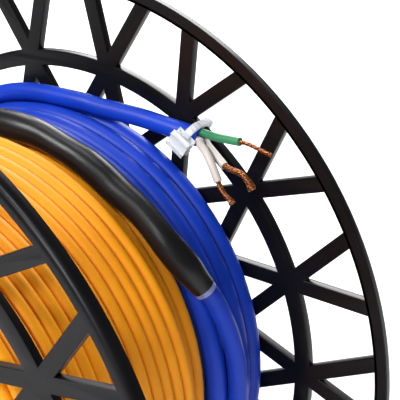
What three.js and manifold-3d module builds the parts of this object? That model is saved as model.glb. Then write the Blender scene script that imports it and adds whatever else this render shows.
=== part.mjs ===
// A drum of underfloor heating cable, in millimetres, +Z up.
// The drum stands on its two rims with its axis along Y, and the origin is the middle of that axis.
// Its open lattice flanges carry an orange heating cable and a blue power lead, wound side by side
// on one barrel. A black splice sleeve joins the two cables, and the lead's bare end is held to the
// rear flange by a cable tie.
import * as THREE from "three";
import { mergeVertices } from "three/addons/utils/BufferGeometryUtils.js";
import Module from "manifold-3d";

const wasm = await Module();
wasm.setup();

// Flanges
const rimRadius = 125;
const rimWidth = 4.6;
const rimDepth = 4.4;
const rimRounding = 2.8;
const plateThickness = 3.1;
const midRingBeyondCable = 13.3;
const midRingWidth = 5.6;
const barWidth = 5.25;
const hubPastCrossing = 2.8;
const arborRadius = 19;
const latticeNodes = 18;
const barLean = THREE.MathUtils.degToRad(23.4);
const rearNodeAngle = THREE.MathUtils.degToRad(21.1);
const frontNodeAngle = THREE.MathUtils.degToRad(11.1);
const rimFacets = 72;

// Barrel
const drumWidth = 111;
const barrelRadius = 57;

// Cables
const heatingDiameter = 4.8;
const heatingPitch = 4.93;
const leadDiameter = 6.3;
const leadPitch = 6.75;
const leadTurns = 4;
const grooveWidth = 14;
const crestRadius = 80.4;
const heatingLayerStep = 4.9;
const heatingLayers = 5;
const leadLayers = 4;
const seat = 0.3;
const coilFacets = 36;

// Splice between the two cables
const spliceDiameter = 9.4;
const spliceEndDiameter = 7.6;
const spliceStart = THREE.MathUtils.degToRad(118);
const spliceEnd = THREE.MathUtils.degToRad(25);
const spliceFromLead = 5.9;
const spliceDrift = 1.8;
const spliceSwing = 8.6;

// Free end of the lead, its cores and the tie
const leadLift = THREE.MathUtils.degToRad(84);
const leadPastTie = 3.4;
const tailRise = 0.9;
const tieBesideNode = THREE.MathUtils.degToRad(4.7);
const coreDiameter = 2.75;
const copperDiameter = 1.5;
const bentCopperDiameter = 2.1;
const tieWidth = 2.6;
const tieThickness = 1.1;
const tieHead = 5.4;

const half = drumWidth / 2;
const tau = Math.PI * 2;

// The middle ring stands clear of the wound cable, and the hub ends just past the circle on which
// the bars of neighbouring nodes cross.
const midRingRadius = crestRadius + midRingBeyondCable;
const crossingRadius = (midRingRadius * Math.sin(barLean)) / Math.sin(barLean + Math.PI / latticeNodes);
const hubRadius = crossingRadius + hubPastCrossing;
const lowerCrestRadius = crestRadius - heatingLayerStep;

// Modelled with the drum's axis along Z: the front flange is at +Z and the rear one at -Z.
const drum = new THREE.Group();
drum.rotation.x = Math.PI / 2;

const plastic = { color: 0x17171a, roughness: 0.45, metalness: 0 };
const orange = { color: 0xf09a1c, roughness: 0.5, metalness: 0 };
const blue = { color: 0x2038b8, roughness: 0.4, metalness: 0 };

function add(name, geometry, look) {
  const mesh = new THREE.Mesh(geometry, new THREE.MeshStandardMaterial(look));
  mesh.name = name;
  drum.add(mesh);
}

function solid(geometry) {
  const bare = geometry.clone();
  bare.deleteAttribute("normal");
  bare.deleteAttribute("uv");
  const merged = mergeVertices(bare, 1e-3);
  return new wasm.Manifold(
    new wasm.Mesh({
      numProp: 3,
      vertProperties: merged.attributes.position.array,
      triVerts: new Uint32Array(merged.index.array),
    }),
  );
}

function geometryOf(manifold) {
  const mesh = manifold.getMesh();
  const geometry = new THREE.BufferGeometry();
  geometry.setAttribute("position", new THREE.BufferAttribute(mesh.vertProperties, 3));
  geometry.setIndex(new THREE.BufferAttribute(mesh.triVerts, 1));
  return geometry;
}

function polar(radius, angle) {
  return new THREE.Vector2(radius * Math.cos(angle), radius * Math.sin(angle));
}

// A polygon of a circle whose lowest side is level, so that the drum stands on a flat of its rim.
function circlePoints(radius, facets) {
  const start = -Math.PI / 2 + Math.PI / facets;
  return Array.from({ length: facets }, (_, i) => polar(radius, start + (i * tau) / facets));
}

function arcPoints(radius, from, to, steps) {
  return Array.from({ length: steps + 1 }, (_, i) => polar(radius, from + ((to - from) * i) / steps));
}

// Turn of a bar's edge from its node to a radius, for an edge that passes a distance from the axis.
function edgeTurn(passing, radius) {
  return barLean - Math.asin(passing / radius);
}

// Windows between the bars that cross at each node of the middle ring
function latticeWindows(firstNode) {
  const pitch = tau / latticeNodes;
  const passing = midRingRadius * Math.sin(barLean);
  const near = passing - barWidth / 2;
  const far = passing + barWidth / 2;
  const rimInner = rimRadius - rimWidth;
  const midInner = midRingRadius - midRingWidth / 2;
  const midOuter = midRingRadius + midRingWidth / 2;
  const windows = [];
  for (let k = 0; k < latticeNodes; k++) {
    const node = firstNode + k * pitch;
    const spread = edgeTurn(far, rimInner);
    const outerApex = far / Math.sin(barLean);
    windows.push([polar(outerApex, node), ...arcPoints(rimInner, node - spread, node + spread, 2)]);
    const rimTurn = edgeTurn(near, rimInner);
    const midTurn = edgeTurn(near, midOuter);
    windows.push([
      ...arcPoints(midOuter, node + pitch - midTurn, node + midTurn, 2),
      ...arcPoints(rimInner, node + rimTurn, node + pitch - rimTurn, 2),
    ]);
    const innerApex = near / Math.sin(barLean);
    const hubTurn = -edgeTurn(near, hubRadius);
    windows.push([polar(innerApex, node), ...arcPoints(hubRadius, node + hubTurn, node - hubTurn, 1)]);
    const crossing = far / Math.sin(barLean + pitch / 2);
    const innerTurn = -edgeTurn(far, midInner);
    windows.push([
      polar(crossing, node + pitch / 2),
      ...arcPoints(midInner, node + pitch - innerTurn, node + innerTurn, 2),
    ]);
  }
  return windows;
}

// Section of the rim: flat against the cable space and rounded over on its outer, far corner
function rimSection() {
  const centre = new THREE.Vector2(rimRadius - rimRounding, rimDepth - rimRounding);
  const corner = arcPoints(rimRounding, 0, Math.PI / 2, 3).map((point) => point.add(centre));
  const inner = rimRadius - rimWidth;
  return [new THREE.Vector2(inner, 0), new THREE.Vector2(rimRadius, 0), ...corner, new THREE.Vector2(inner, rimDepth)];
}

// One moulding: a deep rim round a lattice plate with a plain hub and an arbor hole
function flange(firstNode, outward) {
  const plate = new THREE.Shape(circlePoints(rimRadius - rimWidth / 2, rimFacets));
  plate.holes.push(new THREE.Path(circlePoints(arborRadius, coilFacets)));
  for (const window of latticeWindows(firstNode)) plate.holes.push(new THREE.Path(window));
  const section = rimSection();
  const rim = new THREE.LatheGeometry([...section, section[0]], rimFacets, Math.PI / rimFacets);
  const plateSolid = solid(new THREE.ExtrudeGeometry(plate, { depth: plateThickness, bevelEnabled: false }));
  const rimSolid = solid(rim.rotateX(Math.PI / 2));
  const geometry = geometryOf(plateSolid.add(rimSolid));
  if (outward < 0) {
    geometry.scale(1, 1, -1);
    const index = geometry.index.array;
    for (let i = 0; i < index.length; i += 3) [index[i], index[i + 1]] = [index[i + 1], index[i]];
  }
  geometry.translate(0, 0, outward * half);
  return geometry;
}

add("flange_front", flange(frontNodeAngle, 1), plastic);
add("flange_rear", flange(rearNodeAngle, -1), plastic);

// Barrel: one core between the flanges, with the arbor hole through it
const core = new THREE.Shape(circlePoints(barrelRadius, coilFacets));
core.holes.push(new THREE.Path(circlePoints(arborRadius, coilFacets)));
const barrelLength = drumWidth - seat;
const barrel = new THREE.ExtrudeGeometry(core, { depth: barrelLength, bevelEnabled: false });
add("barrel", barrel.translate(0, 0, -barrelLength / 2), plastic);

// Round backs of a row of turns: a valley at each end of a turn and a flat crest between them.
// The row runs from one place to another, along the axis or along a radius. Where two rows meet at
// a coil's corner, neither keeps its valley there.
function scallops(from, to, turns, crest, depth, place) {
  const points = [];
  const step = (to - from) / turns;
  for (let i = 0; i < turns; i++) {
    points.push(place(from + i * step, crest - depth));
    points.push(place(from + (i + 0.25) * step, crest));
    points.push(place(from + (i + 0.75) * step, crest));
  }
  points.push(place(to, crest - depth));
  return points;
}

function onAxis(along, radius) {
  return new THREE.Vector2(radius, along);
}

function turned(profile) {
  const closed = [...profile, profile[0]].reverse();
  return new THREE.LatheGeometry(closed, coilFacets, Math.PI / coilFacets).rotateX(Math.PI / 2);
}

const bore = barrelRadius + seat;
const valley = 0.3;
const rearEnd = -half + seat;
const frontEnd = half - seat;
const leadEdge = rearEnd + leadTurns * leadPitch;
const heatingTurns = Math.floor((frontEnd - leadEdge - grooveWidth) / heatingPitch);
const heatingEdge = frontEnd - heatingTurns * heatingPitch;
const grooveFloor = lowerCrestRadius;
const heatingDip = valley * heatingDiameter;
const leadDip = valley * leadDiameter;

// Heating cable: a full top layer, and a lower layer that shows in the groove where the splice lies
function heatingCoil() {
  const lowerEdge = leadEdge + seat;
  const lowerTurns = Math.round((heatingEdge - lowerEdge) / heatingPitch);
  const endLayer = (along, out) => new THREE.Vector2(along, out);
  return turned([
    new THREE.Vector2(bore, lowerEdge),
    ...scallops(bore, crestRadius, heatingLayers, frontEnd, heatingDip, endLayer).slice(0, -1),
    ...scallops(frontEnd, heatingEdge, heatingTurns, crestRadius, heatingDip, onAxis).slice(1),
    ...scallops(heatingEdge, lowerEdge, lowerTurns, grooveFloor, heatingDip, onAxis),
  ]);
}

// Power lead: four turns wide, with its outer end against the rear flange
function leadCoil() {
  const endLayer = (along, out) => new THREE.Vector2(along, 2 * rearEnd - out);
  return turned([
    new THREE.Vector2(bore, leadEdge),
    ...scallops(leadEdge, rearEnd, leadTurns, crestRadius, leadDip, onAxis).slice(0, -1),
    ...scallops(crestRadius, bore, leadLayers, rearEnd, leadDip, endLayer).slice(1),
  ]);
}

add("heating_cable_coil", heatingCoil(), orange);
add("power_lead_coil", leadCoil(), blue);

function tube(points, radius, sides, steps) {
  const curve = new THREE.CatmullRomCurve3(points, false, "centripetal");
  const section = new THREE.Shape(
    Array.from({ length: sides }, (_, i) => polar(radius, (i * tau) / sides)),
  );
  return new THREE.ExtrudeGeometry(section, { steps, bevelEnabled: false, extrudePath: curve });
}

function onDrum(radius, angle, along) {
  return new THREE.Vector3(radius * Math.cos(angle), radius * Math.sin(angle), along);
}

// Splice sleeve: lies in the groove on the lower layer, then climbs onto the lead's turns.
// Its path is also the line on which it tapers to its ends.
const spliceSeat = grooveFloor + seat + spliceDiameter / 2;
const spliceTop = crestRadius + seat * 3 + spliceEndDiameter / 2;
const spliceSteps = 20;

function splicePoint(share) {
  const angle = spliceStart + (spliceEnd - spliceStart) * share;
  const climb = THREE.MathUtils.smoothstep(share, 0.62, 0.84);
  const swing = Math.max(0, (share - 0.78) / 0.22) ** 2;
  const radius = spliceSeat + (spliceTop - spliceSeat) * climb;
  const along = leadEdge + spliceFromLead + spliceDrift * climb - spliceSwing * swing;
  return onDrum(radius, angle, along);
}

function spliceSleeve() {
  const path = Array.from({ length: spliceSteps + 1 }, (_, i) => splicePoint(i / spliceSteps));
  const geometry = tube(path, spliceDiameter / 2, 10, spliceSteps * 2);
  const centre = new THREE.CatmullRomCurve3(path, false, "centripetal");
  const position = geometry.attributes.position;
  const point = new THREE.Vector3();
  const rows = Array.from({ length: spliceSteps * 2 + 1 }, (_, i) => centre.getPointAt(i / spliceSteps / 2));
  for (let i = 0; i < position.count; i++) {
    point.fromBufferAttribute(position, i);
    const row = rows.reduce((best, p, n) =>
      point.distanceTo(p) < point.distanceTo(rows[best]) ? n : best, 0);
    const share = row / (rows.length - 1);
    const taper = Math.min(1, 8 * Math.min(share, 1 - share));
    const size = (spliceEndDiameter + (spliceDiameter - spliceEndDiameter) * taper) / spliceDiameter;
    point.sub(rows[row]).multiplyScalar(size).add(rows[row]);
    position.setXYZ(i, point.x, point.y, point.z);
  }
  return geometry;
}

add("splice_sleeve", spliceSleeve(), { color: 0x141414, roughness: 0.5, metalness: 0 });

// Upper run of the lead: from the splice round the drum in a valley between two turns, across to
// the valley nearest the rear flange, and straight off the drum to the tie.
const leadRun = crestRadius + Math.sqrt((leadDiameter / 2) ** 2 - (leadPitch / 4) ** 2) + seat;
const crossRun = crestRadius + leadDiameter / 2 + seat;
const tieAngle = rearNodeAngle + (2 * tau) / latticeNodes - tieBesideNode;
const tieTail = leadRun * Math.tan(leadLift - tieAngle);
const leadTail = tieTail + leadPastTie;
const rearValley = rearEnd + leadPitch;
const frontValley = rearEnd + 3 * leadPitch;
const tieAlong = -half + leadDiameter / 2 + seat;
const liftPoint = onDrum(leadRun, leadLift, rearValley);
const liftWay = onDrum(1, leadLift - Math.PI / 2, 0);
const outWay = onDrum(1, leadLift, 0);

function leadPoint(tail) {
  const share = THREE.MathUtils.smoothstep(tail, 0, leadTail * 0.6);
  const point = liftPoint.clone().addScaledVector(liftWay, tail);
  point.addScaledVector(outWay, (tailRise * tail) / leadTail);
  point.z = rearValley + (tieAlong - rearValley) * share;
  return point;
}

function leadRunPoints() {
  const fromSplice = splicePoint(1);
  const away = fromSplice.clone().sub(splicePoint(0.99)).normalize();
  const points = [2 * seat, leadDiameter].map((way) => fromSplice.clone().addScaledVector(away, way));
  const descent = THREE.MathUtils.degToRad(8);
  points.push(onDrum(crossRun + 2 * seat, spliceEnd - descent, (fromSplice.z + 2 * frontValley) / 3));
  const first = spliceEnd - 2.5 * descent;
  const last = leadLift - tau;
  const arcSteps = 28;
  for (let i = 0; i < arcSteps; i++) {
    const share = i / arcSteps;
    const across = THREE.MathUtils.smoothstep(share, 0.35, 0.65);
    const lift = THREE.MathUtils.smoothstep(share, 0.3, 0.4) - THREE.MathUtils.smoothstep(share, 0.6, 0.7);
    points.push(onDrum(
      leadRun + (crossRun - leadRun) * lift,
      first + (last - first) * share,
      frontValley + (rearValley - frontValley) * across,
    ));
  }
  const tailSteps = 6;
  for (let i = 0; i <= tailSteps; i++) points.push(leadPoint((leadTail * i) / tailSteps));
  return points;
}

add("power_lead_end", tube(leadRunPoints(), leadDiameter / 2, 8, 84), blue);

// Three cores leave the jacket and fan out towards the front. Each starts at its own turn round
// the jacket's mouth and lists its places from there: along the lead, out from the drum, and forward.
const mouth = leadPoint(leadTail);
const coreSpread = (coreDiameter + seat) / Math.sqrt(3);

function addCore(name, look, startTurn, insulated, bare, bareDiameter) {
  const place = ([along, out, forward]) =>
    mouth
      .clone()
      .addScaledVector(liftWay, along)
      .addScaledVector(outWay, out)
      .add(new THREE.Vector3(0, 0, forward));
  const turn = THREE.MathUtils.degToRad(startTurn);
  const offset = [coreSpread * Math.cos(turn), coreSpread * Math.sin(turn)];
  const start = [[2 * seat, ...offset], [coreDiameter / 2, ...offset]];
  add(`core_${name}`, tube([...start, ...insulated].map(place), coreDiameter / 2, 8, 12), look);
  const tip = new THREE.Vector3(...insulated.at(-1));
  const way = tip.clone().sub(new THREE.Vector3(...insulated.at(-2))).normalize();
  const first = tip.clone().addScaledVector(way, 2 * seat).toArray();
  add(`strands_${name}`, tube([first, ...bare].map(place), bareDiameter / 2, 6, 8), copper);
}

const copper = { color: 0xb5652f, roughness: 0.35, metalness: 1 };
const greenLook = { color: 0x1f7040, roughness: 0.4, metalness: 0 };
const whiteLook = { color: 0xe6ddd6, roughness: 0.4, metalness: 0 };
addCore("green", greenLook, -15,
  [[4, 2.1, 0.2], [8.4, 2.9, 1.4], [16.4, 4.4, 2.4]],
  [[19.5, 4.6, 2.5], [22.4, 4.3, 2.5], [28, 3.6, 2.5]],
  copperDiameter);
addCore("white_upper", whiteLook, -135,
  [[3.2, -1.7, 0.3], [6.6, -2.5, 2.2], [12.8, -5, 4.4]],
  [[15.9, -5.2, 4.6], [20, -5.3, 4.6], [22.5, -7.3, 4.6], [24.2, -8.9, 4.6]],
  bentCopperDiameter);
addCore("white_lower", whiteLook, 105,
  [[2.6, -0.7, 3.4], [6, -1.4, 5.4], [10.1, -3.9, 7.6], [13.7, -8.2, 8.6]],
  [[15.3, -10.5, 8.6], [17.8, -12.4, 8.6], [19.9, -13.8, 8.6]],
  copperDiameter);

// Cable tie: a strap round the lead and the rear flange's middle ring, and its square head
const leadAtTie = leadPoint(tieTail);
const lean = leadLift - tieAngle;
const leadReach = (leadDiameter / 2) / Math.cos(lean) + (tieWidth / 2) * Math.tan(lean) + seat;
const leadRadius = Math.hypot(leadAtTie.x, leadAtTie.y);
const tieInside = Math.min(leadRadius - leadReach, midRingRadius - midRingWidth / 2 - 2 * seat);
const tieOutside = leadRadius + leadReach;
const tieBack = -half - plateThickness - 2 * seat;
const tieFront = tieAlong + leadDiameter / 2 + seat;
const tieCorner = 1.2;

function strapOutline(grow) {
  const corner = tieCorner + grow;
  const high = tieOutside + grow - corner;
  const low = tieInside - grow + corner;
  const front = tieFront + grow - corner;
  const back = tieBack - grow + corner;
  const centres = [[high, front], [low, front], [low, back], [high, back]];
  return centres.flatMap(([out, along], quarter) =>
    arcPoints(corner, (quarter * Math.PI) / 2, ((quarter + 1) * Math.PI) / 2, 4).map(
      (p) => new THREE.Vector2(out + p.x, along + p.y),
    ),
  );
}

// Lays a shape drawn outward and forward across the lead, in the plane of the strap.
function atTie(geometry) {
  const out = onDrum(1, tieAngle, 0);
  const forward = new THREE.Vector3(0, 0, 1);
  return geometry.applyMatrix4(new THREE.Matrix4().makeBasis(out, forward, out.clone().cross(forward)));
}

const strapShape = new THREE.Shape(strapOutline(tieThickness));
strapShape.holes.push(new THREE.Path(strapOutline(0)));
const strap = new THREE.ExtrudeGeometry(strapShape, { depth: tieWidth, bevelEnabled: false });
strap.translate(0, 0, -tieWidth / 2);
const head = new THREE.BoxGeometry(tieHead, tieHead * 0.8, tieHead * 1.1);
head.translate(tieInside + tieHead * 0.3, tieFront + tieHead * 0.4 + seat, 0);
const tie = solid(atTie(strap)).add(solid(atTie(head)));
add("cable_tie", geometryOf(tie), { color: 0xe8ecf2, roughness: 0.4, metalness: 0 });

const part = new THREE.Group();
part.add(drum);
export default part;
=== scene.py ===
import math

import bmesh
import bpy
from mathutils import Matrix, Vector


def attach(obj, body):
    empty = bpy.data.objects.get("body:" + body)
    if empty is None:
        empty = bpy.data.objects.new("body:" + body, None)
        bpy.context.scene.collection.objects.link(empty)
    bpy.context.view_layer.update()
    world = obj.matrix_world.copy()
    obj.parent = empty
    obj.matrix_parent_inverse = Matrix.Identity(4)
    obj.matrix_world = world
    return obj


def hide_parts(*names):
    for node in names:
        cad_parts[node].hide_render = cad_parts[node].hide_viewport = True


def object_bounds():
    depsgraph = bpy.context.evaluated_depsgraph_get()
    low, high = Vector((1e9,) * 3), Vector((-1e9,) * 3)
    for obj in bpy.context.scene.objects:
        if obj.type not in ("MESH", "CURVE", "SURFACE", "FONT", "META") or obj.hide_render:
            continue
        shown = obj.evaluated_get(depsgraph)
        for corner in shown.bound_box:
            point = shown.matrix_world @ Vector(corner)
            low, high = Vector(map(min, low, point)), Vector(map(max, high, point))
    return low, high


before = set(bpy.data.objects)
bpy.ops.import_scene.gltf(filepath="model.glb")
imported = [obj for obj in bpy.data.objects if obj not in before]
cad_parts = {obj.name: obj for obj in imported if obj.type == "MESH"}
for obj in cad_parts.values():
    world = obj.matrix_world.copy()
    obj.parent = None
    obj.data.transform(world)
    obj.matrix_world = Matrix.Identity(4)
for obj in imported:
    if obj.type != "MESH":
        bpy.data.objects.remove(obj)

cad_low, cad_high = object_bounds()

# Camera, lights and floor. The photograph looks down at the top right of the drum
# from close by, so little of the floor's shadow shows, and the floor stays white.
camera_data = bpy.data.cameras.new("photo_camera")
camera_data.lens = 122.33
camera_data.sensor_width = 36
camera = bpy.data.objects.new("photo_camera", camera_data)
bpy.context.scene.collection.objects.link(camera)
camera_right = Vector((0.8256, 0.5643, 0.0)).normalized()
camera_up = Vector((-0.2131, 0.3119, 0.9259)).normalized()
camera_axes = Matrix((camera_right, camera_up, camera_right.cross(camera_up))).transposed()
camera.matrix_world = Matrix.Translation((0.28811, -0.28841, 0.22469)) @ camera_axes.to_4x4()
bpy.context.scene.camera = camera

world = bpy.data.worlds.new("studio")
world.use_nodes = True
world.node_tree.nodes["Background"].inputs["Color"].default_value = (1.0, 1.0, 1.0, 1)
world.node_tree.nodes["Background"].inputs["Strength"].default_value = 0.11
bpy.context.scene.world = world
bpy.context.scene.view_settings.view_transform = "Standard"


def softbox(name, place, aim, size, power):
    data = bpy.data.lights.new(name, "AREA")
    data.shape = "RECTANGLE"
    data.size, data.size_y = size
    data.energy = power
    light = bpy.data.objects.new(name, data)
    light.location = place
    light.rotation_euler = (Vector(aim) - Vector(place)).to_track_quat("-Z", "Y").to_euler()
    bpy.context.scene.collection.objects.link(light)


softbox("key_softbox", (-0.5, -0.78, 0.95), (0, 0, 0.02), (0.35, 0.35), 15)
softbox("front_strip", (0.33, -0.88, 0.95), (0, 0, 0.02), (0.14, 0.14), 4)
softbox("front_fill", (0.3, -1.1, 0.5), (0, 0, 0.02), (0.3, 0.3), 7)
softbox("overhead_softbox", (-0.1, 0.1, 1.1), (0, 0, 0), (0.4, 0.4), 3)
softbox("floor_wash", (-1.0, 2.2, 1.6), (-0.8, 1.5, -0.12), (2.0, 2.0), 160)

floor_material = bpy.data.materials.new("pale_floor")
floor_material.use_nodes = True
floor_shader = floor_material.node_tree.nodes["Principled BSDF"]
floor_shader.inputs["Base Color"].default_value = (0.92, 0.92, 0.92, 1)
floor_shader.inputs["Roughness"].default_value = 0.9
floor_shader.inputs["Specular IOR Level"].default_value = 0.1
floor_mesh = bpy.data.meshes.new("floor")
floor_height = cad_low.z - 0.0002
floor_reach = 6.0
floor_mesh.from_pydata(
    [(x * floor_reach, y * floor_reach, floor_height) for x, y in ((-1, -1), (1, -1), (1, 1), (-1, 1))],
    [],
    [(0, 1, 2, 3)],
)
floor_mesh.materials.append(floor_material)
floor = bpy.data.objects.new("floor", floor_mesh)
bpy.context.scene.collection.objects.link(floor)


# Drum flanges: each is one black injection moulding, a deep rim round a lattice of bars that cross
# at a middle ring, with a plain hub. The rear one sits half a lattice pitch round from the front one.
rim_radius = 0.125
rim_inner = 0.1204
rim_depth = 0.0044
rim_rounding = 0.0028
rim_flats = 72
rim_steps = 144
plate_thickness = 0.0031
mid_inner, mid_outer, mid_radius = 0.0909, 0.0965, 0.0937
bar_half = 0.002625
bar_lean = math.radians(23.4)
hub_radius = 0.0704
arbor_radius = 0.019
lattice_nodes = 18
front_first_node = math.radians(31.06)
rear_first_node = math.radians(21.03)
flange_inside = 0.0555
plate_into_rim = 0.0015
plate_softening = 0.0004
rim_softening = 0.0003


def moulded_plastic(name, colour, roughness, grain, grain_depth, gloss=0.5, shade=0.15):
    """Jacket or moulding plastic: a slow change of shade, uneven gloss and a fine surface grain."""
    material = bpy.data.materials.new(name)
    material.use_nodes = True
    nodes, links = material.node_tree.nodes, material.node_tree.links
    shader = nodes["Principled BSDF"]
    place = nodes.new("ShaderNodeTexCoord")
    cloud = nodes.new("ShaderNodeTexNoise")
    cloud.inputs["Scale"].default_value = 60
    cloud.inputs["Detail"].default_value = 3
    tint = nodes.new("ShaderNodeValToRGB")
    tint.color_ramp.elements[0].position = 0.3
    tint.color_ramp.elements[1].position = 0.7
    tint.color_ramp.elements[0].color = (*[c * (1 - shade) for c in colour], 1)
    tint.color_ramp.elements[1].color = (*[min(1, c * (1 + shade)) for c in colour], 1)
    gloss_range = nodes.new("ShaderNodeMapRange")
    gloss_range.inputs["To Min"].default_value = roughness - 0.05
    gloss_range.inputs["To Max"].default_value = roughness + 0.07
    fine = nodes.new("ShaderNodeTexNoise")
    fine.inputs["Scale"].default_value = grain
    fine.inputs["Detail"].default_value = 2
    bump = nodes.new("ShaderNodeBump")
    bump.inputs["Strength"].default_value = 0.35
    bump.inputs["Distance"].default_value = grain_depth
    links.new(place.outputs["Object"], cloud.inputs["Vector"])
    links.new(place.outputs["Object"], fine.inputs["Vector"])
    links.new(cloud.outputs["Fac"], tint.inputs["Fac"])
    links.new(tint.outputs["Color"], shader.inputs["Base Color"])
    links.new(cloud.outputs["Fac"], gloss_range.inputs["Value"])
    links.new(gloss_range.outputs["Result"], shader.inputs["Roughness"])
    links.new(fine.outputs["Fac"], bump.inputs["Height"])
    links.new(bump.outputs["Normal"], shader.inputs["Normal"])
    shader.inputs["Specular IOR Level"].default_value = gloss
    return material


def on_circle(radius, angle):
    return (radius * math.cos(angle), radius * math.sin(angle))


def arc(radius, start, end, steps):
    return [on_circle(radius, start + (end - start) * i / steps) for i in range(steps + 1)]


def edge_turn(passing, radius):
    return bar_lean - math.asin(passing / radius)


def lattice_windows(first_node):
    """Outlines of the windows between the crossing bars."""
    pitch = 2 * math.pi / lattice_nodes
    passing = mid_radius * math.sin(bar_lean)
    near, far = passing - bar_half, passing + bar_half
    windows = []
    for k in range(lattice_nodes):
        node = first_node + k * pitch
        spread = edge_turn(far, rim_inner)
        windows.append([
            on_circle(far / math.sin(bar_lean), node),
            *arc(rim_inner, node - spread, node + spread, 4),
        ])
        rim_turn, mid_turn = edge_turn(near, rim_inner), edge_turn(near, mid_outer)
        windows.append([
            *arc(mid_outer, node + pitch - mid_turn, node + mid_turn, 6),
            *arc(rim_inner, node + rim_turn, node + pitch - rim_turn, 4),
        ])
        hub_turn = -edge_turn(near, hub_radius)
        windows.append([
            on_circle(near / math.sin(bar_lean), node),
            *arc(hub_radius, node + hub_turn, node - hub_turn, 3),
        ])
        crossing = far / math.sin(bar_lean + pitch / 2)
        inner_turn = -edge_turn(far, mid_inner)
        windows.append([
            on_circle(crossing, node + pitch / 2),
            *arc(mid_inner, node + pitch - inner_turn, node + inner_turn, 6),
        ])
    return windows


def moulded_sheet(name, outlines, low, high, softened):
    """A flat moulding between two heights with rounded edges. Its first outline is the outer one."""
    curve = bpy.data.curves.new(name, "CURVE")
    curve.dimensions = "2D"
    curve.fill_mode = "BOTH"
    for points in outlines:
        spline = curve.splines.new("POLY")
        spline.points.add(len(points) - 1)
        for point, (x, y) in zip(spline.points, points):
            point.co = (x, y, 0, 1)
        spline.use_cyclic_u = True
    curve.extrude = (high - low) / 2 - softened
    curve.bevel_depth = softened
    curve.bevel_resolution = 2
    curve.offset = -softened
    made = bpy.data.objects.new(name, curve)
    bpy.context.scene.collection.objects.link(made)
    bpy.context.view_layer.update()
    mesh = bpy.data.meshes.new_from_object(made.evaluated_get(bpy.context.evaluated_depsgraph_get()))
    bpy.data.objects.remove(made)
    mesh.transform(Matrix.Translation((0, 0, (low + high) / 2)))
    return mesh


def join_closed(name, meshes, placement):
    """One object from closed meshes, with shared points merged and its faces turned out."""
    shape = bmesh.new()
    for mesh in meshes:
        shape.from_mesh(mesh)
        bpy.data.meshes.remove(mesh)
    bmesh.ops.remove_doubles(shape, verts=shape.verts, dist=1e-6)
    bmesh.ops.transform(shape, matrix=placement, verts=shape.verts)
    bmesh.ops.recalc_face_normals(shape, faces=shape.faces)
    mesh = bpy.data.meshes.new(name)
    shape.to_mesh(mesh)
    shape.free()
    made = bpy.data.objects.new(name, mesh)
    bpy.context.scene.collection.objects.link(made)
    return made


drum_black = moulded_plastic(
    "drum_black", (0.0042, 0.0040, 0.0052), 0.3, 900, 0.00003, gloss=0.16, shade=0.25
)


def turned_rim():
    """The rim's closed ring: flat against the cable, rounded over on its outer corner."""
    outer = rim_radius * math.cos(math.pi / rim_flats)
    soft = rim_softening
    section = [(rim_inner + soft, 0), (outer - soft, 0), (outer, soft)]
    section += [
        (outer - rim_rounding + r, rim_depth - rim_rounding + h)
        for r, h in arc(rim_rounding, 0, math.pi / 2, 8)
    ]
    section += [(rim_inner + soft, rim_depth), (rim_inner, rim_depth - soft), (rim_inner, soft)]
    count = len(section)
    points = [
        (*on_circle(r, 2 * math.pi * i / rim_steps), h) for i in range(rim_steps) for r, h in section
    ]
    faces = [
        (
            i * count + j,
            i * count + (j + 1) % count,
            ((i + 1) % rim_steps) * count + (j + 1) % count,
            ((i + 1) % rim_steps) * count + j,
        )
        for i in range(rim_steps)
        for j in range(count)
    ]
    mesh = bpy.data.meshes.new("rim")
    mesh.from_pydata(points, [], faces)
    return mesh


def flange(name, node, first_node, outward):
    bore = arc(arbor_radius, 0, 2 * math.pi * 63 / 64, 63)
    plate_outer = arc(
        rim_inner + plate_into_rim, 0, 2 * math.pi * (rim_steps - 1) / rim_steps, rim_steps - 1
    )
    outlines = [plate_outer, bore, *lattice_windows(first_node)]
    plate = moulded_sheet(name, outlines, 0, plate_thickness, plate_softening)
    rim = turned_rim()
    # The moulding is drawn flat, with its inner face at height 0, then stood up on the drum's axis.
    stand = Matrix(((1, 0, 0, 0), (0, 0, outward, outward * flange_inside), (0, 1, 0, 0), (0, 0, 0, 1)))
    made = join_closed(name, [plate, rim], stand)
    made.data.materials.clear()
    made.data.materials.append(drum_black)
    for face in made.data.polygons:
        face.material_index = 0
    made.data.shade_smooth()
    made.data.set_sharp_from_angle(angle=math.radians(28))
    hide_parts(node)
    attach(made, "root")


flange("front_lattice_flange", "flange_front", front_first_node, -1)
flange("rear_lattice_flange", "flange_rear", rear_first_node, 1)


# Barrel: the black core between the flanges. Only its arbor hole shows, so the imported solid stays.
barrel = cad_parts["barrel"]
for slot in barrel.material_slots:
    slot.material = drum_black


# Heating cable: orange jacketed cable wound in even layers from the groove beside the power lead to
# the front flange and back, where its last turn crosses into the splice. Deeper layers hide under it.
heating_thickness = 0.0048
heating_pitch = 0.00493
heating_lanes = 13
heating_top_radius = 0.0780
heating_lower_radius = 0.0726
groove_front = 0.0441
lower_start = 0.0301
join_degrees = 80
tuck_depth, tuck_turn, tuck_steps, tuck_rise = 0.006, 230, 60, 16
rest_turns = 0.85
straight_turn, crossing_turn = 225, 322
lane_sway = 0.00012
clearance = 0.0003
barrel_skin = 0.0573
deep_heating_radius = 0.0706
deep_heating_inset = 0.0276
steps_a_turn = 96


def on_drum(radius, degrees, inset):
    """A point on the drum, by its radius, its angle from +X and its distance from the rear flange."""
    turn = math.radians(degrees)
    return Vector((radius * math.cos(turn), flange_inside - inset, radius * math.sin(turn)))


def eased(value, low, high):
    share = min(1, max(0, (value - low) / (high - low)))
    return share * share * (3 - 2 * share)


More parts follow.
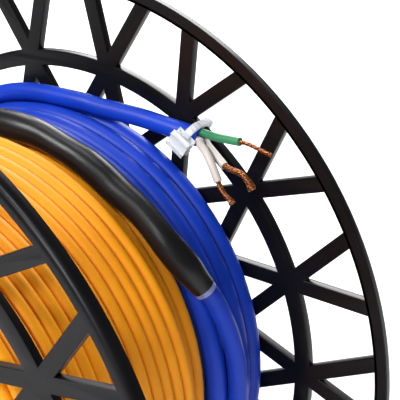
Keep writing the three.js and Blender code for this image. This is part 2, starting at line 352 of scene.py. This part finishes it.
def cable_tree():
    """Geometry nodes that give a cable its round jacket along its route, closed at both ends."""
    tree = bpy.data.node_groups.new("Jacket along a route", "GeometryNodeTree")
    tree.interface.new_socket("Route", in_out="INPUT", socket_type="NodeSocketGeometry")
    tree.interface.new_socket("Thickness", in_out="INPUT", socket_type="NodeSocketFloat")
    tree.interface.new_socket("Sides", in_out="INPUT", socket_type="NodeSocketInt")
    tree.interface.new_socket("Jacket", in_out="INPUT", socket_type="NodeSocketMaterial")
    tree.interface.new_socket("Cable", in_out="OUTPUT", socket_type="NodeSocketGeometry")
    nodes, links = tree.nodes, tree.links
    given, result = nodes.new("NodeGroupInput"), nodes.new("NodeGroupOutput")
    half = nodes.new("ShaderNodeMath")
    half.operation = "MULTIPLY"
    half.inputs[1].default_value = 0.5
    route = nodes.new("GeometryNodeMeshToCurve")
    ring = nodes.new("GeometryNodeCurvePrimitiveCircle")
    sweep = nodes.new("GeometryNodeCurveToMesh")
    sweep.inputs["Fill Caps"].default_value = True
    smooth = nodes.new("GeometryNodeSetShadeSmooth")
    real = nodes.new("GeometryNodeRealizeInstances")
    finish = nodes.new("GeometryNodeSetMaterial")
    links.new(given.outputs["Route"], route.inputs["Mesh"])
    links.new(given.outputs["Thickness"], half.inputs[0])
    links.new(given.outputs["Sides"], ring.inputs["Resolution"])
    links.new(half.outputs[0], ring.inputs["Radius"])
    links.new(route.outputs["Curve"], sweep.inputs["Curve"])
    links.new(ring.outputs["Curve"], sweep.inputs["Profile Curve"])
    links.new(sweep.outputs["Mesh"], smooth.inputs["Geometry"])
    links.new(smooth.outputs["Geometry"], real.inputs["Geometry"])
    links.new(real.outputs["Geometry"], finish.inputs["Geometry"])
    links.new(given.outputs["Jacket"], finish.inputs["Material"])
    links.new(finish.outputs["Geometry"], result.inputs["Cable"])
    return tree


jacket_along_route = cable_tree()


def cable(name, routes, thickness, sides, jacket):
    """A mesh cable along each route, which is a list of points."""
    points = [p for route in routes for p in route]
    edges, start = [], 0
    for route in routes:
        edges += [(start + i, start + i + 1) for i in range(len(route) - 1)]
        start += len(route)
    line = bpy.data.meshes.new(name + "_route")
    line.from_pydata(points, edges, [])
    source = bpy.data.objects.new(name + "_route", line)
    bpy.context.scene.collection.objects.link(source)
    sweep = source.modifiers.new("Jacket", "NODES")
    sweep.node_group = jacket_along_route
    named = {item.name: item.identifier for item in jacket_along_route.interface.items_tree}
    sweep[named["Thickness"]] = thickness
    sweep[named["Sides"]] = sides
    sweep[named["Jacket"]] = jacket
    bpy.context.view_layer.update()
    mesh = bpy.data.meshes.new_from_object(source.evaluated_get(bpy.context.evaluated_depsgraph_get()))
    mesh.name = name
    bpy.data.objects.remove(source)
    made = bpy.data.objects.new(name, mesh)
    bpy.context.scene.collection.objects.link(made)
    return made


def heating_route():
    """Lower layer from the groove to the front flange, then the top layer back to the splice."""
    route = []
    against_front = 2 * flange_inside - heating_thickness / 2 - clearance
    lower_turns = (against_front - lower_start) / heating_pitch
    first = join_degrees + 360 * lower_turns
    for i in range(tuck_steps):
        radius = heating_lower_radius - tuck_depth * (1 - eased(i, 0, tuck_rise))
        route.append(on_drum(radius, first + tuck_turn - tuck_turn * i / tuck_steps, lower_start))
    for i in range(int(lower_turns * steps_a_turn)):
        turns = i / steps_a_turn
        angle = first - 360 * turns
        route.append(on_drum(heating_lower_radius, angle, lower_start + heating_pitch * turns))
    climb_steps = int(rest_turns * steps_a_turn)
    for i in range(climb_steps):
        share = i / climb_steps
        angle = join_degrees - 360 * rest_turns * share
        lift = eased(share, 0.15, 0.5)
        radius = heating_lower_radius + (heating_top_radius - heating_lower_radius) * lift
        route.append(on_drum(radius, angle, against_front))
    top_start = join_degrees - 360 * rest_turns
    top_pitch = (against_front - groove_front) / heating_lanes
    top_turns = heating_lanes + 1 - rest_turns
    top_steps = round(top_turns * steps_a_turn)
    for i in range(top_steps):
        turns = top_turns * i / top_steps
        settle = max(0, turns - (1 - rest_turns))
        angle = top_start - 360 * turns
        sway = lane_sway * math.sin(2.3 * turns * 2 * math.pi / 7 + 1.1 * math.sin(turns))
        route.append(on_drum(heating_top_radius + sway, angle, against_front - top_pitch * settle))
    for i in range(steps_a_turn):
        turned = crossing_turn * i / (steps_a_turn - 1)
        over = eased(turned, straight_turn, crossing_turn)
        inset = groove_front - heating_pitch * (min(turned, straight_turn) / 360)
        radius = heating_top_radius + (splice_low_radius - heating_top_radius) * over
        route.append(on_drum(radius, join_degrees - turned, inset + (splice_inset - inset) * over))
    return route


splice_low_radius = 0.0805
splice_inset = 0.0332
orange_jacket = moulded_plastic(
    "orange_jacket", (0.86, 0.315, 0.008), 0.5, 500, 0.00003, gloss=0.2, shade=0.05
)
heating_cable = cable("heating_cable", [heating_route()], heating_thickness, 16, orange_jacket)
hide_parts("heating_cable_coil")
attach(heating_cable, "root")


def turned_layers(name, low_radius, high_radius, inner_inset, outer_inset, pitch, jacket):
    """Deeper layers of a coil as one turned solid, with the rounded backs of its turns at both ends."""
    back_steps, hollow = 6, 0.35
    layers = max(1, round((high_radius - low_radius) / pitch))
    levels = [
        (
            low_radius + (high_radius - low_radius) * i / (layers * back_steps),
            pitch * hollow * (1 - abs(math.sin(math.pi * i / back_steps))),
        )
        for i in range(layers * back_steps + 1)
    ]
    outline = [(r, outer_inset - sunk) for r, sunk in levels]
    outline += [(r, inner_inset + sunk) for r, sunk in reversed(levels)]
    facets, count = 72, len(outline)
    points = [on_drum(r, 360 * j / facets, inset) for j in range(facets) for r, inset in outline]
    faces = [
        (
            j * count + i,
            j * count + (i + 1) % count,
            ((j + 1) % facets) * count + (i + 1) % count,
            ((j + 1) % facets) * count + i,
        )
        for j in range(facets)
        for i in range(count)
    ]
    mesh = bpy.data.meshes.new(name)
    mesh.from_pydata(points, [], faces)
    made = join_closed(name, [mesh], Matrix.Identity(4))
    made.data.materials.append(jacket)
    for face in made.data.polygons:
        face.use_smooth = True
    return made


deep_heating = turned_layers(
    "deep_heating_layers", barrel_skin, deep_heating_radius,
    deep_heating_inset, 2 * flange_inside - clearance, heating_pitch, orange_jacket,
)
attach(deep_heating, "root")


# Power lead: a thicker blue lead wound four turns wide against the rear flange. From the splice its
# upper run lies in the valleys of those turns, goes once round, and leaves the drum at the tie.
lead_thickness = 0.0063
lead_pitch = 0.0068
lead_flange_gap = 0.0002
turns_start, turns_end = 300, -1180
dip_depth, dip_turn = 0.0062, 70
deep_lead_radius = 0.0738
deep_lead_inset = 0.0270
lead_radius = 0.07698
lead_crowded = 0.00684
lead_valley_radius = 0.0826
first_lane = 0.0039
lane_angle = 61


def lead_lane(degrees):
    """Distance of the lead's lanes from the rear flange, which grows by one pitch a turn."""
    return max(
        lead_crowded / 2 + lead_flange_gap, first_lane + lead_pitch * ((lane_angle - degrees) / 360)
    )


def lead_turns_route():
    """The top layer of the lead's turns, which dips under the run above it at both of its ends."""
    route = []
    steps = int((turns_start - turns_end) / 360 * steps_a_turn)
    for i in range(steps + 1):
        degrees = turns_start + (turns_end - turns_start) * i / steps
        sunk = 1 - eased(turns_start - degrees, 0, dip_turn) + eased(turns_end - degrees, -dip_turn, 0)
        route.append(on_drum(lead_radius - dip_depth * sunk, degrees, lead_lane(degrees)))
    return route


lead_lift = 84
lead_tail = 0.047
tail_rise = 0.0001
tie_inset = lead_thickness / 2 + clearance
rear_valley = 0.00705
lift_radius = 0.08336
splice_start, splice_turn = 118, 93
splice_climb, splice_drift, splice_swing = 0.0038, 0.0018, 0.0086
front_valley = 0.0215
run_valley = 0.0067


def splice_point(share):
    """The splice's centre line, from its end in the heating cable to its end in the lead."""
    climb = eased(share, 0.62, 0.84)
    swing = max(0, (share - 0.78) / 0.22) ** 2
    radius = splice_low_radius + splice_climb * climb
    inset = splice_inset + splice_drift * climb - splice_swing * swing
    return on_drum(radius, splice_start - splice_turn * share, inset)


def lead_tail_point(way):
    """The lead's free end, straight from where it lifts off the coil to its cut jacket."""
    settle = eased(way, 0, lead_tail * 0.6)
    out = on_drum(1, lead_lift, flange_inside)
    along = on_drum(1, lead_lift - 90, flange_inside)
    place = out * (lift_radius + tail_rise * way / lead_tail) + along * way
    place.y = flange_inside - (rear_valley + (tie_inset - rear_valley) * settle)
    return place


def smooth_route(points, step):
    """Points at even steps on one smooth line through the given ones."""
    route = []
    for i in range(len(points) - 1):
        p0 = points[max(0, i - 1)]
        p1, p2 = points[i], points[i + 1]
        p3 = points[min(len(points) - 1, i + 2)]
        pieces = max(1, round((p2 - p1).length / step))
        for j in range(pieces):
            t = j / pieces
            route.append(0.5 * (
                2 * p1
                + (p2 - p0) * t
                + (2 * p0 - 5 * p1 + 4 * p2 - p3) * t * t
                + (3 * p1 - p0 - 3 * p2 + p3) * t ** 3
            ))
    route.append(points[-1])
    return route


def lead_run_route():
    """The lead from inside the splice, down into a valley, once round and out to its free end."""
    points = [splice_point(0.93), splice_point(0.965), splice_point(1)]
    points.append(on_drum(0.0838, 16, 0.0236))
    points.append(on_drum(0.0830, 6, 0.0219))
    for degrees in range(-8, -270, -12):
        across = eased(-degrees, 80, 190)
        over = eased(-degrees, 70, 95) - eased(-degrees, 175, 200)
        inset = front_valley + (run_valley - front_valley) * across
        radius = lead_valley_radius + 0.0013 * over + 0.0007 * eased(-degrees, 200, 260)
        points.append(on_drum(radius, degrees, inset))
    points += [lead_tail_point(lead_tail * i / 6) for i in range(7)]
    return smooth_route(points, 0.003)


blue_jacket = moulded_plastic(
    "blue_jacket", (0.005, 0.040, 0.43), 0.42, 500, 0.00003, gloss=0.22, shade=0.08
)
lead_turns = cable("power_lead_turns", [lead_turns_route()], lead_crowded, 24, blue_jacket)
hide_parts("power_lead_coil")
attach(lead_turns, "root")
lead_run = cable("power_lead_run", [lead_run_route()], lead_thickness, 24, blue_jacket)
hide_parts("power_lead_end")
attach(lead_run, "root")
deep_lead = turned_layers(
    "deep_lead_layers", barrel_skin, deep_lead_radius, clearance, deep_lead_inset, lead_pitch, blue_jacket
)
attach(deep_lead, "root")


# Splice sleeve: black heat-shrink tube over the joint of the two cables. It has shrunk unevenly, so
# soft lumps show the crimps under it, and clear sealant stands out as a collar at the lead's end.
splice_reach = 0.0039
splice_swell = 0.00075
collar_reach = 0.0037
sleeve_shares = (0, 0.963)
collar_shares = (0.958, 0.974)


def splice_radius(share, around):
    """Half the sleeve's thickness: swollen between its ends, with lumps along it."""
    lumps = 0.00024 * math.sin(share * 22 + 0.6) + 0.00012 * math.sin(share * 37 + around)
    dents = 0.00003 * math.sin(share * 61 + 2 * around + 1.2)
    taper = eased(share, 0, 0.06) * (1 - eased(share, 0.9, 0.97))
    return splice_reach + splice_swell * taper + (lumps + dents) * taper


def collar_radius(share, around):
    return collar_reach + 0.0001 * math.sin(3 * around + 1)


def splice_mesh(shares, rows, reach_at):
    """A closed round skin about the splice's centre line, between two shares of its length."""
    first, last = shares
    sides = 40
    points, faces = [], []
    for i in range(rows + 1):
        share = first + (last - first) * i / rows
        centre = splice_point(share)
        way = (splice_point(min(1, share + 0.004)) - splice_point(max(0, share - 0.004))).normalized()
        out = Vector((centre.x, 0, centre.z)).normalized()
        side = way.cross(out).normalized()
        out = side.cross(way)
        for j in range(sides):
            around = 2 * math.pi * j / sides
            reach = reach_at(share, around)
            points.append(centre + out * (reach * math.cos(around)) + side * (reach * math.sin(around)))
    for i in range(rows):
        for j in range(sides):
            k = (j + 1) % sides
            faces.append((i * sides + j, i * sides + k, (i + 1) * sides + k, (i + 1) * sides + j))
    faces.append(tuple(range(sides - 1, -1, -1)))
    faces.append(tuple(range(rows * sides, (rows + 1) * sides)))
    mesh = bpy.data.meshes.new("heat_shrink")
    mesh.from_pydata(points, [], faces)
    return mesh


shrink_black = moulded_plastic(
    "shrink_black", (0.006, 0.006, 0.007), 0.34, 1600, 0.00008, gloss=0.3, shade=0.25
)
sleeve_skin = splice_mesh(sleeve_shares, 210, splice_radius)
splice = join_closed("splice_heat_shrink", [sleeve_skin], Matrix.Identity(4))
splice.data.materials.append(shrink_black)
splice.data.shade_smooth()
splice.data.set_sharp_from_angle(angle=math.radians(50))
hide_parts("splice_sleeve")
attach(splice, "root")
sealant = moulded_plastic("clear_sealant", (0.30, 0.34, 0.66), 0.3, 700, 0.00003, shade=0.1)
sealant.node_tree.nodes["Principled BSDF"].inputs["Transmission Weight"].default_value = 0.35
collar_skin = splice_mesh(collar_shares, 6, collar_radius)
collar = join_closed("splice_collar", [collar_skin], Matrix.Identity(4))
collar.data.materials.append(sealant)
collar.data.shade_smooth()
collar.data.set_sharp_from_angle(angle=math.radians(50))
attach(collar, "root")


# Cores of the lead: three insulated wires, one green and two white, which fan out of the cut jacket.
# Each ends in bare copper, a bundle of fine strands twisted together and a little frayed at the tip.
core_thickness = 0.00275
mouth = lead_tail_point(lead_tail)
lead_out = on_drum(1, lead_lift, flange_inside)
lead_along = on_drum(1, lead_lift - 90, flange_inside)
core_offset = 1.76


def from_mouth(along, out, forward):
    """A place in millimetres from the jacket's mouth: along the lead, out from the drum and forward."""
    return mouth + (lead_along * along + lead_out * out + Vector((0, -1, 0)) * forward) * 0.001


def twisted_strands(points, strands, spread, fray):
    """Routes of the fine strands that twist round a core's bare end and part at its tip."""
    middle = smooth_route(points, 0.0005)
    routes = []
    for s in range(strands):
        layer = (0.35, 1.0, 1.0)[s % 3]
        start = 2 * math.pi * s / strands
        route = []
        for i, place in enumerate(middle):
            share = i / (len(middle) - 1)
            before, after = middle[max(0, i - 1)], middle[min(len(middle) - 1, i + 1)]
            way = (after - before).normalized()
            side = way.cross(Vector((0.2, -1, 0.3))).normalized()
            top = side.cross(way)
            turn = start + 2.2 * 2 * math.pi * share
            opened = spread * layer * (1 + fray * eased(share, 0.6, 1) * (0.5 + 0.5 * math.sin(s * 2.4)))
            route.append(place + side * (opened * math.cos(turn)) + top * (opened * math.sin(turn)))
        routes.append(route)
    return routes


copper = bpy.data.materials.new("bare_copper")
copper.use_nodes = True
copper_nodes, copper_links = copper.node_tree.nodes, copper.node_tree.links
copper_shader = copper_nodes["Principled BSDF"]
copper_shader.inputs["Metallic"].default_value = 0.85
copper_shader.inputs["Roughness"].default_value = 0.3
copper_place = copper_nodes.new("ShaderNodeTexCoord")
copper_noise = copper_nodes.new("ShaderNodeTexNoise")
copper_noise.inputs["Scale"].default_value = 2600
copper_tint = copper_nodes.new("ShaderNodeValToRGB")
copper_tint.color_ramp.elements[0].position = 0.42
copper_tint.color_ramp.elements[1].position = 0.6
copper_tint.color_ramp.elements[0].color = (0.10, 0.026, 0.008, 1)
copper_tint.color_ramp.elements[1].color = (0.50, 0.18, 0.06, 1)
copper_links.new(copper_place.outputs["Object"], copper_noise.inputs["Vector"])
copper_links.new(copper_noise.outputs["Fac"], copper_tint.inputs["Fac"])
copper_links.new(copper_tint.outputs["Color"], copper_shader.inputs["Base Color"])
green_insulation = moulded_plastic("green_insulation", (0.03, 0.20, 0.085), 0.4, 700, 0.00002)
white_insulation = moulded_plastic("white_insulation", (0.50, 0.455, 0.425), 0.45, 700, 0.00002, shade=0.06)
cores = {
    "green": (
        green_insulation, "green_insulation", -15,
        [(4, 2.1, 0.2), (8.4, 2.9, 1.4), (16.4, 4.4, 2.4)],
        [(19.5, 4.6, 2.5), (22.4, 4.3, 2.5), (28, 3.6, 2.5)],
    ),
    "white_upper": (
        white_insulation, "white_insulation", -135,
        [(3.2, -1.5, 0.3), (6.6, -2.1, 2.2), (12.8, -4.4, 4.4)],
        [(15.9, -4.8, 4.6), (20, -5.1, 4.6), (22.5, -7.1, 4.6), (24.2, -8.8, 4.6)],
    ),
    "white_lower": (
        white_insulation, "white_insulation", 105,
        [(2.6, -0.7, 3.4), (6, -1.4, 5.4), (10.1, -3.9, 7.6), (13.7, -8.2, 8.6)],
        [(15.3, -10.5, 8.6), (17.8, -12.4, 8.6), (19.9, -13.8, 8.6)],
    ),
}
strand_thickness = 0.00042
bundles = {"green": (9, 0.00050, 0.5), "white_upper": (15, 0.00082, 0.7), "white_lower": (12, 0.00066, 0.8)}
for name, (insulation, slot_name, start_turn, covered, bare) in cores.items():
    turn = math.radians(start_turn)
    offset = (core_offset * math.cos(turn), core_offset * math.sin(turn))
    line = [from_mouth(-2, *offset), from_mouth(1.4, *offset), *[from_mouth(*p) for p in covered]]
    core = cable("core_" + name + "_insulation", [smooth_route(line, 0.0008)], core_thickness, 20, insulation)
    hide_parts("core_" + name)
    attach(core, "root")
    tip = [from_mouth(*covered[-1])] + [from_mouth(*p) for p in bare]
    count, spread, fray = bundles[name]
    strands = cable(
        "strands_" + name + "_copper", twisted_strands(tip, count, spread, fray), strand_thickness, 7, copper
    )
    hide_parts("strands_" + name)
    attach(strands, "root")


# Cable tie: milky nylon, with its ribbed strap pulled round the lead and the rear flange's middle
# ring. Its rounded head sits in front of the lead, and the strap's tail is cut flush with it.
nylon = moulded_plastic("milky_nylon", (0.78, 0.80, 0.84), 0.35, 400, 0.00003, shade=0.04)
nylon_shader = nylon.node_tree.nodes["Principled BSDF"]
nylon_shader.inputs["Subsurface Weight"].default_value = 0.35
nylon_shader.inputs["Subsurface Radius"].default_value = (0.002, 0.002, 0.002)
nylon_shader.inputs["Transmission Weight"].default_value = 0.3
tie_width, tie_gauge = 0.0026, 0.0011
tie_degrees = 56.33
tie_out = on_drum(1, tie_degrees, flange_inside)
tie_side = tie_out.cross(Vector((0, -1, 0)))
tie_inner, tie_outer = 0.0903, 0.0981
tie_back, tie_front = flange_inside + plate_thickness + 2 * clearance, flange_inside - 0.0069
snug_corner, tight_corner = 0.0033, 0.0012
rib_step, rib_share = 0.0003, 0.76


def tie_place(radius, y, across):
    return tie_out * radius + Vector((0, y, 0)) + tie_side * across


def rounded_loop(low, high, back, front, snug, tight, steps):
    """Places of the strap's inside: snug about the lead, tight round the flange's ring."""
    loop = []
    centres = [(high - snug, front + snug, 0, snug), (low + snug, front + snug, 1, snug),
               (low + tight, back - tight, 2, tight), (high - tight, back - tight, 3, tight)]
    for r, y, quarter, corner in centres:
        for i in range(steps + 1):
            turn = (quarter + i / steps) * math.pi / 2
            across, along = math.cos(turn), -math.sin(turn)
            loop.append((r + corner * across, y + corner * along, across, along))
    return loop


def tie_strap():
    """The ribbed strap as one closed band."""
    corners = rounded_loop(tie_inner, tie_outer, tie_back, tie_front, snug_corner, tight_corner, 8)
    loop = []
    for i, (r, y, nr, ny) in enumerate(corners):
        r2, y2, mr, my = corners[(i + 1) % len(corners)]
        pieces = max(1, round(math.hypot(r2 - r, y2 - y) / rib_step))
        for j in range(pieces):
            t = j / pieces
            loop.append((r + (r2 - r) * t, y + (y2 - y) * t, nr + (mr - nr) * t, ny + (my - ny) * t))
    section = [(-1, 0), (-1, 0.75), (-0.8, 1), (0.8, 1), (1, 0.75), (1, 0)]
    points, faces = [], []
    for i, (r, y, nr, ny) in enumerate(loop):
        rib = 1 if i % 4 < 2 else rib_share
        for across, out in section:
            reach = tie_gauge * out * (rib if abs(across) < 0.9 else 1)
            points.append(tie_place(r + nr * reach, y + ny * reach, across * tie_width / 2))
    count = len(section)
    for i in range(len(loop)):
        n = (i + 1) % len(loop)
        for j in range(count):
            k = (j + 1) % count
            faces.append((i * count + j, i * count + k, n * count + k, n * count + j))
    mesh = bpy.data.meshes.new("strap")
    mesh.from_pydata(points, [], faces)
    return mesh


def tie_block(low, high, front, back, width, softened):
    """A block with rounded edges, at its place on the tie."""
    shape = bmesh.new()
    bmesh.ops.create_cube(shape, size=1)
    for vert in shape.verts:
        r = low if vert.co.x < 0 else high
        y = front if vert.co.y < 0 else back
        vert.co = tie_place(r, y, vert.co.z * width)
    bmesh.ops.bevel(shape, geom=list(shape.edges), offset=softened, segments=4, affect="EDGES", profile=0.5)
    mesh = bpy.data.meshes.new("block")
    shape.to_mesh(mesh)
    shape.free()
    return mesh


head_low, head_high = tie_inner + 0.0005, tie_inner + 0.0044
head_back, head_front = tie_front - 0.0002, tie_front - 0.0034
tie = join_closed("nylon_cable_tie", [
    tie_strap(),
    tie_block(head_low, head_high, head_front, head_back, 0.0045, 0.0014),
], Matrix.Identity(4))
tie.data.materials.append(nylon)
tie.data.shade_smooth()
tie.data.set_sharp_from_angle(angle=math.radians(35))
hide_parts("cable_tie")
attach(tie, "root")
